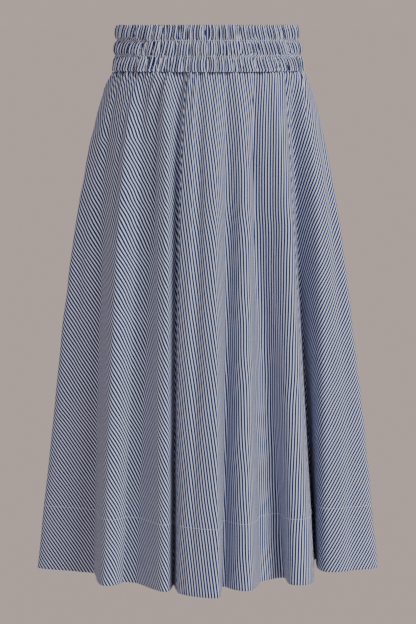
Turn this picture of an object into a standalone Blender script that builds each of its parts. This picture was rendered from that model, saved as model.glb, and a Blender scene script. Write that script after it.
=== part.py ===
"""A-line maxi skirt of striped cotton poplin, hanging open and hollow from its waist.

The skirt has a waistband with three elastic channels and four flared panels: a front and a back
panel on the straight grain and a wide bias panel on each side. It is turned a little on its
wearer, so the front panel sits to the right of the middle when seen from the front (-Y).

Sizes are in millimetres and are scaled to metres when a mesh is made. Plan angles are counted
from the front (-Y) towards +X, and a drop is measured down from the waistband's top edge.
"""

import math
from typing import NamedTuple

import bmesh
import bpy

MM = 0.001

# Heights, as drops below the top edge of the waistband.
CHANNEL_HEIGHT = 23.5
CHANNELS = 3
BAND_HEIGHT = CHANNEL_HEIGHT * CHANNELS
SKIRT_DROP = 846.0
HEM_DEPTH = 100.0
SEAM_GAP = 0.3
ORIGIN_DROP = BAND_HEIGHT / 2

# Wall thicknesses: one layer of cloth, the doubled hem, and the gathered band with its elastic.
CLOTH = 1.5
HEM_CLOTH = 2.4
BAND_WALL = 2.2

# Waist seam, where the panels join the waistband.
SEAM_HALF_WIDTH = 147.0
SEAM_HALF_DEPTH = 109.0

# Waistband: the ellipse of each stitched row, from the top edge down to the waist seam.
BAND_ROW_HALF_WIDTHS = (139.4, 140.6, 143.8, SEAM_HALF_WIDTH)
BAND_DEPTH_SHARE = SEAM_HALF_DEPTH / SEAM_HALF_WIDTH
CHANNEL_BULGE = 1.7
PUCKERS = 48
CHANNEL_STATIONS = (0.0, 0.28, 0.72)
PUCKER_HEIGHT = 1.3
STITCHED_PUCKER_SHARE = 0.25
PUCKER_STEPS = 4
PUCKER_SHIFTS = (0, 2, 1)
PUCKER_UNEVEN = 0.35
PUCKER_RHYTHM = 2.4
CHANNEL_RHYTHM = 1.9

# Hang of the panels.
HIP_PUSH = 22.0
SEAT_PUSH = 10.0
VALLEY_SINK = 5.0
SWELL_POWER = 0.6
SWING_POWER = 0.65
GATHER_HEIGHT = 2.2
GATHER_FADE = 20.0
STEPS = 4
DEEP_STEPS = 6
DEEP_SPAN = 90.0

# Drops of the rings of every panel. The two rings about the hem stitching carry the hem's edge.
HEM_STITCH_DROP = SKIRT_DROP - HEM_DEPTH
RING_DROPS = (
    BAND_HEIGHT + SEAM_GAP, 77.0, 87.0, 103.0, 128.0, 164.0, 215.0, 282.0, 364.0, 452.0,
    541.0, 631.0, HEM_STITCH_DROP - 2.0, HEM_STITCH_DROP + 2.0, 796.0, SKIRT_DROP,
)

POPLIN = (0.30, 0.34, 0.43)
POPLIN_ROUGHNESS = 0.85
SHARP_EDGE = math.radians(50)


class Turn(NamedTuple):
    """A line down the cloth: the crest of a ridge, the floor of a valley, a face or a seam.

    waist_deg is its plan angle at the waist seam. hem_x, hem_y and heading are its place at the
    hem and the direction that the hem runs in there, and breadth is how broadly it is rounded.
    drift moves it along the ring at hip height.
    """

    name: str
    form: str
    waist_deg: float
    hem_x: float
    hem_y: float
    heading: float
    breadth: float
    drift: float = 0.0


# Each panel starts with the seam on its left, seen from outside, and runs to the next panel's.
PANELS = {
    "front_panel": (
        Turn("left_front_seam", "seam", -11.4, -46.5, -200, -78, 14, -8),
        Turn("ridge_beside_seam", "ridge", -8.0, -40, -216, -36, 18),
        Turn("fading_valley", "valley", -4.0, -26, -229, -28, 22, -4),
        Turn("big_front_fold", "ridge", 3.0, 15, -242, 2, 28),
        Turn("valley_behind_front_fold", "valley", 12.0, 24, -172, 0, 17, 6),
        Turn("bright_middle_ridge", "ridge", 21.0, 57, -197, 0, 54),
        Turn("middle_ridge_foot", "face", 27.0, 85, -138, 42, 24),
        Turn("broad_valley", "valley", 31.5, 118, -117, 8, 16, -8),
        Turn("ridge_at_right_seam", "ridge", 46.0, 135, -162, -2, 58),
    ),
    "right_side_panel": (
        Turn("right_front_seam", "seam", 54.0, 163, -138, 80, 30),
        Turn("deep_slot", "valley", 62.0, 172, 10, 0, 11),
        Turn("slot_right_lip", "ridge", 71.0, 188, -76, -4, 80),
        Turn("right_side_face", "face", 80.0, 229, -64, 18, 36, -4),
        Turn("right_side_ridge", "ridge", 91.0, 268, -44, 74, 34, -14),
        Turn("right_rear_valley", "valley", 104.0, 226, 50, 122, 46, -8),
        Turn("right_rear_ridge", "ridge", 118.0, 228, 123, 118, 58),
        Turn("right_back_valley", "valley", 131.0, 160, 144, 148, 42),
        Turn("right_back_ridge", "ridge", 144.0, 136, 202, 146, 56),
        Turn("right_back_hollow", "valley", 156.0, 89, 180, 166, 38),
    ),
    "back_panel": (
        Turn("right_back_seam", "seam", 166.0, 56, 224, 162, 46),
        Turn("back_valley_right", "valley", 175.0, 22, 188, 180, 38),
        Turn("back_middle_ridge", "ridge", 184.0, -10, 236, 178, 52),
        Turn("back_valley_middle", "valley", 194.0, -46, 182, 186, 40),
        Turn("back_broad_ridge", "ridge", 204.0, -87, 224, 200, 58),
        Turn("back_valley_left", "valley", 214.0, -114, 168, 212, 38),
        Turn("back_left_ridge", "ridge", 224.0, -163, 182, 216, 52),
    ),
    "left_side_panel": (
        Turn("left_back_seam", "seam", 234.0, -170, 124, 222, 38),
        Turn("left_back_ridge", "ridge", 242.0, -224, 135, 232, 56),
        Turn("left_rear_valley", "valley", 250.0, -183, 77, 244, 36),
        Turn("left_rear_ridge", "ridge", 258.0, -254, 68, 252, 50),
        Turn("left_rear_hollow", "valley", 265.0, -226, 18, 258, 34, 6),
        Turn("left_side_ridge", "ridge", 274.0, -267, -46, 288, 34, 14),
        Turn("left_front_face", "face", 287.0, -226, -65, 341, 36, 4),
        Turn("tucked_face", "face", 298.0, -177, -82, 338, 16),
        Turn("overlapping_ridge", "ridge", 311.0, -154, -165, 352, 62),
        Turn("left_front_valley", "valley", 318.0, -128, -141, 352, 14),
        Turn("left_front_floor", "valley", 326.0, -110, -146, 338, 18),
        Turn("left_front_ridge", "ridge", 335.5, -64, -203, 352, 40),
        Turn("valley_at_left_seam", "valley", 341.5, -52, -160, 350, 5),
    ),
}


def clear_scene():
    """Removes every object that the scene starts with."""
    for obj in list(bpy.data.objects):
        bpy.data.objects.remove(obj, do_unlink=True)


def poplin(node_name):
    """Makes one node's matte cloth material, in the mean colour of its stripes."""
    material = bpy.data.materials.new(f"{node_name}_poplin")
    material.use_nodes = True
    shader = material.node_tree.nodes["Principled BSDF"]
    shader.inputs["Base Color"].default_value = (*POPLIN, 1.0)
    shader.inputs["Roughness"].default_value = POPLIN_ROUGHNESS
    shader.inputs["Metallic"].default_value = 0.0
    return material


def on_ellipse(degrees, half_width, half_depth):
    """The plan point and the heading, in degrees, of an ellipse at a plan angle from the front."""
    angle = math.radians(degrees)
    point = (half_width * math.sin(angle), -half_depth * math.cos(angle))
    heading = math.degrees(math.atan2(half_depth * math.sin(angle), half_width * math.cos(angle)))
    return point, heading


def share_down(drop):
    """How far down a panel a drop is, from 0 at the waist seam to 1 at the hem."""
    return max(0.0, (drop - BAND_HEIGHT) / (SKIRT_DROP - BAND_HEIGHT))


def swell(share):
    """How strongly the hips act on the cloth: nothing at waist and hem, most at a third down."""
    return math.sin(math.pi * share**SWELL_POWER)


def hip_offset(turn):
    """How far the hips or the seat hold a line of the cloth out, in millimetres."""
    if turn.form == "valley":
        return -VALLEY_SINK
    if turn.form == "seam":
        return 0.0
    angle = math.radians(turn.waist_deg)
    behind = max(0.0, -math.cos(angle))
    return HIP_PUSH * math.sin(angle) ** 2 + SEAT_PUSH * behind**2


def turn_at(turn, waist_span, share):
    """A turning point's plan place and its tangent, at a share of the way down.

    waist_span is the length of the tangent at the waist, where the ring is a plain ellipse.
    """
    waist, waist_heading = on_ellipse(turn.waist_deg, SEAM_HALF_WIDTH, SEAM_HALF_DEPTH)
    angle = math.radians(turn.waist_deg)
    held = swell(share)
    out = hip_offset(turn) * held
    along = turn.drift * held
    x = waist[0] + (turn.hem_x - waist[0]) * share + out * math.sin(angle) + along * math.cos(angle)
    y = waist[1] + (turn.hem_y - waist[1]) * share - out * math.cos(angle) + along * math.sin(angle)
    swing = (turn.heading - waist_heading + 180.0) % 360.0 - 180.0
    heading = math.radians(waist_heading + swing * share**SWING_POWER)
    length = waist_span + (turn.breadth - waist_span) * share
    return (x, y), (length * math.cos(heading), length * math.sin(heading))


def waist_span_of(turns, index):
    """The mean distance along the waist seam from a turning point to its two neighbours."""
    before, after = turns[index - 1], turns[(index + 1) % len(turns)]
    degrees = (after.waist_deg - before.waist_deg) % 360.0
    radius = (SEAM_HALF_WIDTH + SEAM_HALF_DEPTH) / 2
    return math.radians(degrees) * radius / 2


def hermite(start, end, step):
    """The point and the outward normal at a step from 0 to 1 between two turning points."""
    (p, t), (q, u) = start, end
    square, cube = step**2, step**3
    weights = (2 * cube - 3 * square + 1, cube - 2 * square + step, 3 * square - 2 * cube, cube - square)
    slopes = (6 * square - 6 * step, 3 * square - 4 * step + 1, 6 * step - 6 * square, 3 * square - 2 * step)
    point = [sum(w * v for w, v in zip(weights, (p[i], t[i], q[i], u[i]))) for i in (0, 1)]
    run = [sum(w * v for w, v in zip(slopes, (p[i], t[i], q[i], u[i]))) for i in (0, 1)]
    length = math.hypot(*run)
    return point, (run[1] / length, -run[0] / length)


def steps_between(turn, after):
    """How many columns of faces lie between two turning points: more where the cloth runs deep."""
    span = math.hypot(after.hem_x - turn.hem_x, after.hem_y - turn.hem_y)
    return DEEP_STEPS if span > DEEP_SPAN else STEPS


def panel_ring(panel, drop):
    """One ring of a panel as (outer, inner) plan points, from its left seam to its right seam."""
    turns = [turn for rows in PANELS.values() for turn in rows]
    first = turns.index(PANELS[panel][0])
    share = share_down(drop)
    wall = CLOTH if drop < HEM_STITCH_DROP else HEM_CLOTH
    gather = GATHER_HEIGHT * math.exp(-(drop - BAND_HEIGHT) / GATHER_FADE)
    ring = []
    for index in range(first, first + len(PANELS[panel])):
        following = (index + 1) % len(turns)
        start = turn_at(turns[index], waist_span_of(turns, index), share)
        end = turn_at(turns[following], waist_span_of(turns, following), share)
        steps = steps_between(turns[index], turns[following])
        last = index == first + len(PANELS[panel]) - 1
        for step in range(steps + last):
            part = step / steps
            (x, y), (nx, ny) = hermite(start, end, part)
            lift = gather * math.sin(2 * math.pi * part)
            inset = 0.0
            if index == first and step == 0:
                inset = SEAM_GAP / 2
            elif step == steps:
                inset = -SEAM_GAP / 2
            x, y = x - ny * inset + nx * lift, y + nx * inset + ny * lift
            ring.append(((x, y), (x - nx * wall, y - ny * wall)))
    return ring


def close_wall(name, outer_rings, inner_rings, joined):
    """Makes a closed wall between two stacks of rings.

    Each ring is a list of (x, y, z) points in millimetres. joined is true for rings that run all
    round, and false for a panel with two side edges.
    """
    mesh = bmesh.new()
    outer = [[mesh.verts.new((x * MM, y * MM, z * MM)) for x, y, z in ring] for ring in outer_rings]
    inner = [[mesh.verts.new((x * MM, y * MM, z * MM)) for x, y, z in ring] for ring in inner_rings]
    count = len(outer[0])
    columns = range(count if joined else count - 1)

    def strip(upper, lower, outwards):
        for column in columns:
            after = (column + 1) % count
            a, b, c, d = upper[column], lower[column], lower[after], upper[after]
            for face in ((a, b, c), (a, c, d)):
                mesh.faces.new(face if outwards else face[::-1])

    for upper, lower in zip(outer, outer[1:]):
        strip(upper, lower, True)
    for upper, lower in zip(inner, inner[1:]):
        strip(upper, lower, False)
    strip(inner[0], outer[0], True)
    strip(inner[-1], outer[-1], False)
    if not joined:
        for column, outwards in ((0, True), (-1, False)):
            for (a, b), (c, d) in zip(zip(inner, outer), zip(inner[1:], outer[1:])):
                for face in ((a[column], c[column], d[column]), (a[column], d[column], b[column])):
                    mesh.faces.new(face if outwards else face[::-1])
    data = bpy.data.meshes.new(name)
    mesh.to_mesh(data)
    mesh.free()
    data.shade_smooth()
    data.set_sharp_from_angle(angle=SHARP_EDGE)
    data.materials.append(poplin(name))
    bpy.context.scene.collection.objects.link(bpy.data.objects.new(name, data))


def make_panel(name):
    """Makes one flared panel, from the waist seam to the hem."""
    outer_rings, inner_rings = [], []
    for drop in RING_DROPS:
        z = ORIGIN_DROP - drop
        ring = panel_ring(name, drop)
        outer_rings.append([(x, y, z) for (x, y), _ in ring])
        inner_rings.append([(x, y, z) for _, (x, y) in ring])
    close_wall(name, outer_rings, inner_rings, False)


def band_half_width(drop):
    """The half width of the waistband's stitched ellipse at a drop, without bulge or puckers."""
    row = min(CHANNELS - 1, int(drop / CHANNEL_HEIGHT))
    part = drop / CHANNEL_HEIGHT - row
    upper, lower = BAND_ROW_HALF_WIDTHS[row : row + 2]
    return upper + (lower - upper) * part


def pucker(column, channel):
    """The height of a pucker at a column of the waistband, from -1 to 1, uneven from one to the next."""
    number = (column + PUCKER_SHIFTS[channel]) // PUCKER_STEPS
    wander = math.sin(number * PUCKER_RHYTHM + channel * CHANNEL_RHYTHM)
    uneven = 1.0 - PUCKER_UNEVEN * (1.0 + wander) / 2
    return uneven * math.sin(2 * math.pi * (column + PUCKER_SHIFTS[channel]) / PUCKER_STEPS)


def make_waistband():
    """Makes the gathered waistband: three bulging channels outside, plain inside."""
    columns = PUCKERS * PUCKER_STEPS
    stations = [(channel, part) for channel in range(CHANNELS) for part in CHANNEL_STATIONS]
    stations.append((CHANNELS - 1, 1.0))
    outer_rings = []
    for channel, part in stations:
        drop = (channel + part) * CHANNEL_HEIGHT
        fullness = math.sin(math.pi * part)
        half = band_half_width(drop) + CHANNEL_BULGE * fullness
        height = PUCKER_HEIGHT * (STITCHED_PUCKER_SHARE + (1 - STITCHED_PUCKER_SHARE) * fullness)
        ring = []
        for column in range(columns):
            degrees = 360.0 * column / columns
            reach = half + height * pucker(column, channel)
            (x, y), _ = on_ellipse(degrees, reach, reach * BAND_DEPTH_SHARE)
            ring.append((x, y, ORIGIN_DROP - drop))
        outer_rings.append(ring)
    inner_rings = []
    for channel in range(CHANNELS + 1):
        half = BAND_ROW_HALF_WIDTHS[channel] - BAND_WALL
        drop = channel * CHANNEL_HEIGHT
        ring = []
        for column in range(columns):
            (x, y), _ = on_ellipse(360.0 * column / columns, half, half * BAND_DEPTH_SHARE)
            ring.append((x, y, ORIGIN_DROP - drop))
        inner_rings.append(ring)
    close_wall("waistband", outer_rings, inner_rings, True)


def main():
    """Builds the skirt: its waistband and its four panels."""
    clear_scene()
    make_waistband()
    for name in PANELS:
        make_panel(name)


main()
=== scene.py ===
"""Looks of the a-line maxi skirt: striped poplin hanging in folds from a gathered waistband.

The skirt has four flared panels, a front and a back near the straight grain and a wide one with
slanting stripes on each side, below a band of three elastic channels. Each panel is one sheet of
cloth that is hung on the fold lines of its solid, pressed into soft creases and turned up inside
at the hem. Sizes are in millimetres and become metres when a mesh is made. Plan angles are counted
from the front (-Y) towards +X, and a drop is measured down from the waistband's top edge.
"""

from __future__ import annotations

import bisect
import logging
import math
import random
from dataclasses import dataclass, field
from enum import Enum
from typing import Iterable, NamedTuple

import bmesh
import bpy
from mathutils import Matrix, Vector

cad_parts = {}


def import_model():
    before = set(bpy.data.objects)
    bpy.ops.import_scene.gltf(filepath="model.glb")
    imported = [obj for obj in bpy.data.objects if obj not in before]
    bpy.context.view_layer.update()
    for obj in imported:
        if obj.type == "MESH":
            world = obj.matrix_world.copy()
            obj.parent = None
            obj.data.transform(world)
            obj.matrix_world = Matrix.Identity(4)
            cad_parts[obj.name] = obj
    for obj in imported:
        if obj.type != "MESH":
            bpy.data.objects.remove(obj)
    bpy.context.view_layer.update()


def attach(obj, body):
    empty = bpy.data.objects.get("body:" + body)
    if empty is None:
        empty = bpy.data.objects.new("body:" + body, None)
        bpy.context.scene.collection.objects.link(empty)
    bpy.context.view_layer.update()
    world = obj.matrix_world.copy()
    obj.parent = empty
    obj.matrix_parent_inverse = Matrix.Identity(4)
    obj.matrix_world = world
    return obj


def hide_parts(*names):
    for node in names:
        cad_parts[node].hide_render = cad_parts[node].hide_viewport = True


LOG = logging.getLogger("maxi_skirt")
MM = 0.001

Plan = tuple[float, float]
Point = tuple[float, float, float]
Colour = tuple[float, float, float]
# The middle of a stitch, its direction and the outward normal there, in metres.
Stitch = tuple[Vector, Vector, Vector]

# Heights, as drops below the top edge of the waistband.
CHANNEL_HEIGHT = 23.5
CHANNELS = 3
BAND_HEIGHT = CHANNEL_HEIGHT * CHANNELS
SKIRT_DROP = 846.0
HEM_DEPTH = 100.0
HEM_STITCH_DROP = SKIRT_DROP - HEM_DEPTH
SEAM_GAP = 0.3
ORIGIN_DROP = BAND_HEIGHT / 2

# Waist seam and the rows of the waistband.
SEAM_HALF_WIDTH = 147.0
SEAM_HALF_DEPTH = 109.0
BAND_ROW_HALF_WIDTHS = (139.4, 140.6, 143.8, SEAM_HALF_WIDTH)
BAND_DEPTH_SHARE = SEAM_HALF_DEPTH / SEAM_HALF_WIDTH
BAND_WALL = 2.2

STRIPE_PITCH = 4.45

# How far along an axis a face's normal points if the face looks that way.
FACING = 0.9


class Form(Enum):
    """What the cloth does along a turning line."""

    RIDGE = "ridge"
    VALLEY = "valley"
    FACE = "face"
    SEAM = "seam"


class Grain(Enum):
    """The angle from a panel's mid-line to its stripes, in degrees, leaning down to the right."""

    STRAIGHT = 0.0
    NEAR_STRAIGHT = 2.5
    LEFT_BIAS = 38.0
    RIGHT_BIAS = -32.0


class Turn(NamedTuple):
    """A line down the cloth: the crest of a ridge, the floor of a valley, a face or a seam.

    waist_deg is its plan angle at the waist seam. hem_x, hem_y and heading are its place at the
    hem and the direction that the hem runs in there, and breadth is how broadly it is rounded.
    drift moves it along the ring at hip height.
    """

    name: str
    form: Form
    waist_deg: float
    hem_x: float
    hem_y: float
    heading: float
    breadth: float
    drift: float = 0.0


FRONT_TURNS = (
    Turn("left_front_seam", Form.SEAM, -11.4, -46.5, -200, -78, 14, -8),
    Turn("ridge_beside_seam", Form.RIDGE, -8.0, -40, -216, -36, 18),
    Turn("fading_valley", Form.VALLEY, -4.0, -26, -229, -28, 22, -4),
    Turn("big_front_fold", Form.RIDGE, 3.0, 15, -242, 2, 28),
    Turn("valley_behind_front_fold", Form.VALLEY, 12.0, 24, -172, 0, 17, 6),
    Turn("bright_middle_ridge", Form.RIDGE, 21.0, 57, -197, 0, 54),
    Turn("middle_ridge_foot", Form.FACE, 27.0, 85, -138, 42, 24),
    Turn("broad_valley", Form.VALLEY, 31.5, 118, -117, 8, 16, -8),
    Turn("ridge_at_right_seam", Form.RIDGE, 46.0, 135, -162, -2, 58),
)
RIGHT_TURNS = (
    Turn("right_front_seam", Form.SEAM, 54.0, 163, -138, 80, 30),
    Turn("deep_slot", Form.VALLEY, 62.0, 172, 10, 0, 11),
    Turn("slot_right_lip", Form.RIDGE, 71.0, 188, -76, -4, 80),
    Turn("right_side_face", Form.FACE, 80.0, 229, -64, 18, 36, -4),
    Turn("right_side_ridge", Form.RIDGE, 91.0, 268, -44, 74, 34, -14),
    Turn("right_rear_valley", Form.VALLEY, 104.0, 226, 50, 122, 46, -8),
    Turn("right_rear_ridge", Form.RIDGE, 118.0, 228, 123, 118, 58),
    Turn("right_back_valley", Form.VALLEY, 131.0, 160, 144, 148, 42),
    Turn("right_back_ridge", Form.RIDGE, 144.0, 136, 202, 146, 56),
    Turn("right_back_hollow", Form.VALLEY, 156.0, 89, 180, 166, 38),
)
BACK_TURNS = (
    Turn("right_back_seam", Form.SEAM, 166.0, 56, 224, 162, 46),
    Turn("back_valley_right", Form.VALLEY, 175.0, 22, 188, 180, 38),
    Turn("back_middle_ridge", Form.RIDGE, 184.0, -10, 236, 178, 52),
    Turn("back_valley_middle", Form.VALLEY, 194.0, -46, 182, 186, 40),
    Turn("back_broad_ridge", Form.RIDGE, 204.0, -87, 224, 200, 58),
    Turn("back_valley_left", Form.VALLEY, 214.0, -114, 168, 212, 38),
    Turn("back_left_ridge", Form.RIDGE, 224.0, -163, 182, 216, 52),
)
LEFT_TURNS = (
    Turn("left_back_seam", Form.SEAM, 234.0, -170, 124, 222, 38),
    Turn("left_back_ridge", Form.RIDGE, 242.0, -224, 135, 232, 56),
    Turn("left_rear_valley", Form.VALLEY, 250.0, -183, 77, 244, 36),
    Turn("left_rear_ridge", Form.RIDGE, 258.0, -254, 68, 252, 50),
    Turn("left_rear_hollow", Form.VALLEY, 265.0, -226, 18, 258, 34, 6),
    Turn("left_side_ridge", Form.RIDGE, 274.0, -267, -46, 288, 34, 14),
    Turn("left_front_face", Form.FACE, 287.0, -226, -65, 341, 36, 4),
    Turn("tucked_face", Form.FACE, 298.0, -177, -82, 338, 16),
    Turn("overlapping_ridge", Form.RIDGE, 311.0, -154, -165, 352, 62),
    Turn("left_front_valley", Form.VALLEY, 318.0, -128, -141, 352, 14),
    Turn("left_front_floor", Form.VALLEY, 326.0, -110, -146, 338, 18),
    Turn("left_front_ridge", Form.RIDGE, 335.5, -64, -203, 352, 40),
    Turn("valley_at_left_seam", Form.VALLEY, 341.5, -52, -160, 350, 5),
)


class Crease(NamedTuple):
    """A soft crease pressed into a panel: a ridge if height is above 0, else a trough.

    top and bottom are its places across the panel, from 0 at the left seam to 1 at the right,
    where it starts and ends, and start and end are those drops. width is its half width.
    """

    top: float
    bottom: float
    start: float
    end: float
    width: float
    height: float


FRONT_CREASES = (
    Crease(0.142, 0.135, -60, 420, 5.5, -3.6),
    Crease(0.135, 0.090, 180, 900, 8.0, -4.2),
    Crease(0.225, 0.205, 360, 920, 8.0, -1.1),
    Crease(0.190, 0.160, 140, 640, 8.0, 1.2),
    Crease(0.238, 0.240, 0, 230, 4.5, -3.0),
    Crease(0.330, 0.300, 20, 200, 5.0, -1.8),
    Crease(0.362, 0.398, -80, 1000, 6.5, -5.4),
    Crease(0.500, 0.550, 10, 180, 5.0, -1.9),
    Crease(0.565, 0.560, 180, 560, 8.0, 1.3),
    Crease(0.640, 0.620, 20, 160, 4.5, 1.6),
    Crease(0.672, 0.660, -60, 420, 7.0, -4.0),
    Crease(0.665, 0.655, 60, 940, 14.0, -6.0),
    Crease(0.730, 0.745, 60, 980, 24.0, -9.5),
    Crease(0.785, 0.790, -20, 460, 5.0, -3.4),
    Crease(0.890, 0.905, 20, 300, 6.0, -3.4),
    Crease(0.930, 0.950, 90, 320, 5.0, -1.4),
    Crease(0.500, 0.520, 640, 960, 14.0, 1.2),
    Crease(0.870, 0.880, 600, 980, 12.0, -1.2),
)
RIGHT_CREASES = (
    Crease(0.115, 0.090, 0, 200, 5.0, -3.0),
    Crease(0.178, 0.165, 20, 230, 5.0, -2.8),
    Crease(0.195, 0.350, 150, 1000, 9.0, 1.6),
    Crease(0.222, 0.273, 120, 480, 9.0, 2.2),
    Crease(0.255, 0.312, 140, 520, 9.0, -1.7),
    Crease(0.300, 0.340, 10, 190, 6.0, -2.0),
    Crease(0.347, 0.371, 250, 720, 14.0, -1.6),
    Crease(0.330, 0.335, 560, 980, 16.0, 1.6),
    Crease(0.420, 0.400, 20, 230, 6.0, 1.8),
    Crease(0.500, 0.470, 110, 560, 10.0, -1.9),
    Crease(0.560, 0.580, 300, 940, 12.0, 1.7),
    Crease(0.630, 0.600, 10, 270, 7.0, -2.0),
    Crease(0.680, 0.720, 220, 760, 10.0, -1.8),
    Crease(0.800, 0.780, 90, 470, 9.0, 1.9),
    Crease(0.865, 0.885, 360, 940, 11.0, -1.7),
    Crease(0.930, 0.950, 10, 310, 7.0, -1.8),
)
BACK_CREASES = (
    Crease(0.120, 0.090, 10, 360, 7.0, -2.0),
    Crease(0.270, 0.300, 200, 740, 9.0, 1.7),
    Crease(0.400, 0.370, 10, 310, 7.0, -2.0),
    Crease(0.500, 0.530, 260, 930, 10.0, -1.7),
    Crease(0.620, 0.600, 90, 490, 8.0, 1.9),
    Crease(0.740, 0.780, 10, 260, 6.0, -1.9),
    Crease(0.800, 0.770, 380, 940, 10.0, 1.5),
    Crease(0.910, 0.930, 120, 580, 8.0, -1.7),
)
LEFT_CREASES = (
    Crease(0.070, 0.050, 10, 310, 7.0, -2.0),
    Crease(0.140, 0.170, 240, 840, 10.0, 1.7),
    Crease(0.240, 0.210, 80, 440, 9.0, -1.9),
    Crease(0.310, 0.330, 300, 930, 11.0, -1.7),
    Crease(0.340, 0.345, -60, 130, 24.0, -4.8),
    Crease(0.380, 0.400, 40, 270, 7.0, 1.5),
    Crease(0.520, 0.580, 80, 430, 9.0, 1.6),
    Crease(0.565, 0.625, 0, 440, 8.0, -3.0),
    Crease(0.486, 0.484, 380, 860, 15.0, -1.6),
    Crease(0.625, 0.640, 10, 180, 5.0, -1.8),
    Crease(0.655, 0.700, -20, 330, 6.0, -3.2),
    Crease(0.730, 0.720, 150, 560, 8.0, 1.4),
    Crease(0.800, 0.805, 20, 180, 5.0, 1.8),
    Crease(0.854, 0.850, -60, 380, 5.0, -3.4),
    Crease(0.885, 0.890, 30, 150, 4.0, 2.0),
    Crease(0.915, 0.925, 30, 150, 4.0, -2.2),
    Crease(0.880, 0.870, 110, 900, 7.0, 3.0),
    Crease(0.955, 0.909, -100, 890, 6.0, -5.0),
    Crease(0.985, 0.945, -100, 560, 6.0, -5.5),
)


class Place(NamedTuple):
    """A point of hung cloth in plan, its outward normal and its distance along the ring."""

    x: float
    y: float
    nx: float
    ny: float
    along: float


def on_ellipse(degrees: float, half_width: float, half_depth: float) -> tuple[Plan, float]:
    """Finds a point of an ellipse.

    Args:
        degrees: The plan angle from the front.
        half_width: Half the ellipse's width, in millimetres.
        half_depth: Half its depth, in millimetres.

    Returns:
        The plan point and the heading of the ellipse there, in degrees.
    """
    angle = math.radians(degrees)
    point = (half_width * math.sin(angle), -half_depth * math.cos(angle))
    heading = math.degrees(math.atan2(half_depth * math.sin(angle), half_width * math.cos(angle)))
    return point, heading


def smooth(share: float) -> float:
    """Eases a share from 0 to 1 with level ends."""
    held = min(1.0, max(0.0, share))
    return held * held * (3 - 2 * held)


def deselect_all() -> None:
    """Leaves nothing selected, so that an operator acts on the new piece alone."""
    for obj in bpy.context.selected_objects:
        obj.select_set(False)


def select_only(obj: bpy.types.Object) -> None:
    """Makes one object the selected and active one."""
    deselect_all()
    obj.select_set(True)
    bpy.context.view_layer.objects.active = obj


def linked(name: str, data: bpy.types.ID) -> bpy.types.Object:
    """Makes an object of a mesh, light or camera and links it into the scene."""
    made = bpy.data.objects.new(name, data)
    bpy.context.scene.collection.objects.link(made)
    return made


def woven(
    name: str, rows: list[list[Point]], flats: list[list[Plan]], closed: bool = False
) -> bpy.types.Object:
    """Makes a sheet of cloth from rows of points, with the cut's flat places as its UV map.

    Args:
        name: The piece's name.
        rows: The rows of points, in millimetres.
        flats: The flat place of every point, in metres, with one more a row if the sheet closes.
        closed: Whether both the rows and the columns close on themselves, as in a tube.

    Returns:
        The piece.
    """
    mesh = bmesh.new()
    uv = mesh.loops.layers.uv.new("cut")
    verts = [[mesh.verts.new((x * MM, y * MM, z * MM)) for x, y, z in row] for row in rows]
    lines, columns = len(rows), len(rows[0])
    for line in range(lines if closed else lines - 1):
        below = (line + 1) % lines
        for column in range(columns if closed else columns - 1):
            corners = ((line, column), (below, column), (below, column + 1), (line, column + 1))
            face = mesh.faces.new([verts[r][c % columns] for r, c in corners])
            for loop, (r, c) in zip(face.loops, corners):
                loop[uv].uv = flats[r][c]
    data = bpy.data.meshes.new(name)
    mesh.to_mesh(data)
    mesh.free()
    data.shade_smooth()
    return linked(name, data)


def plain_finish(name: str, values: dict[str, float | tuple[float, ...]]) -> bpy.types.Material:
    """Makes a material and sets these values on its shader's own sockets."""
    made = bpy.data.materials.new(name)
    made.use_nodes = True
    for socket, value in values.items():
        made.node_tree.nodes["Principled BSDF"].inputs[socket].default_value = value
    return made


def add_relief(
    made: bpy.types.Material, height: bpy.types.NodeSocket, strength: float, depth: float
) -> None:
    """Gives a material fine relief.

    Args:
        made: The material.
        height: The socket that gives the relief's height.
        strength: How strongly the relief acts.
        depth: How deep it is, in metres.
    """
    nodes, links = made.node_tree.nodes, made.node_tree.links
    bump = nodes.new("ShaderNodeBump")
    bump.inputs["Strength"].default_value = strength
    bump.inputs["Distance"].default_value = depth
    links.new(height, bump.inputs["Height"])
    links.new(bump.outputs["Normal"], nodes["Principled BSDF"].inputs["Normal"])


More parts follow.
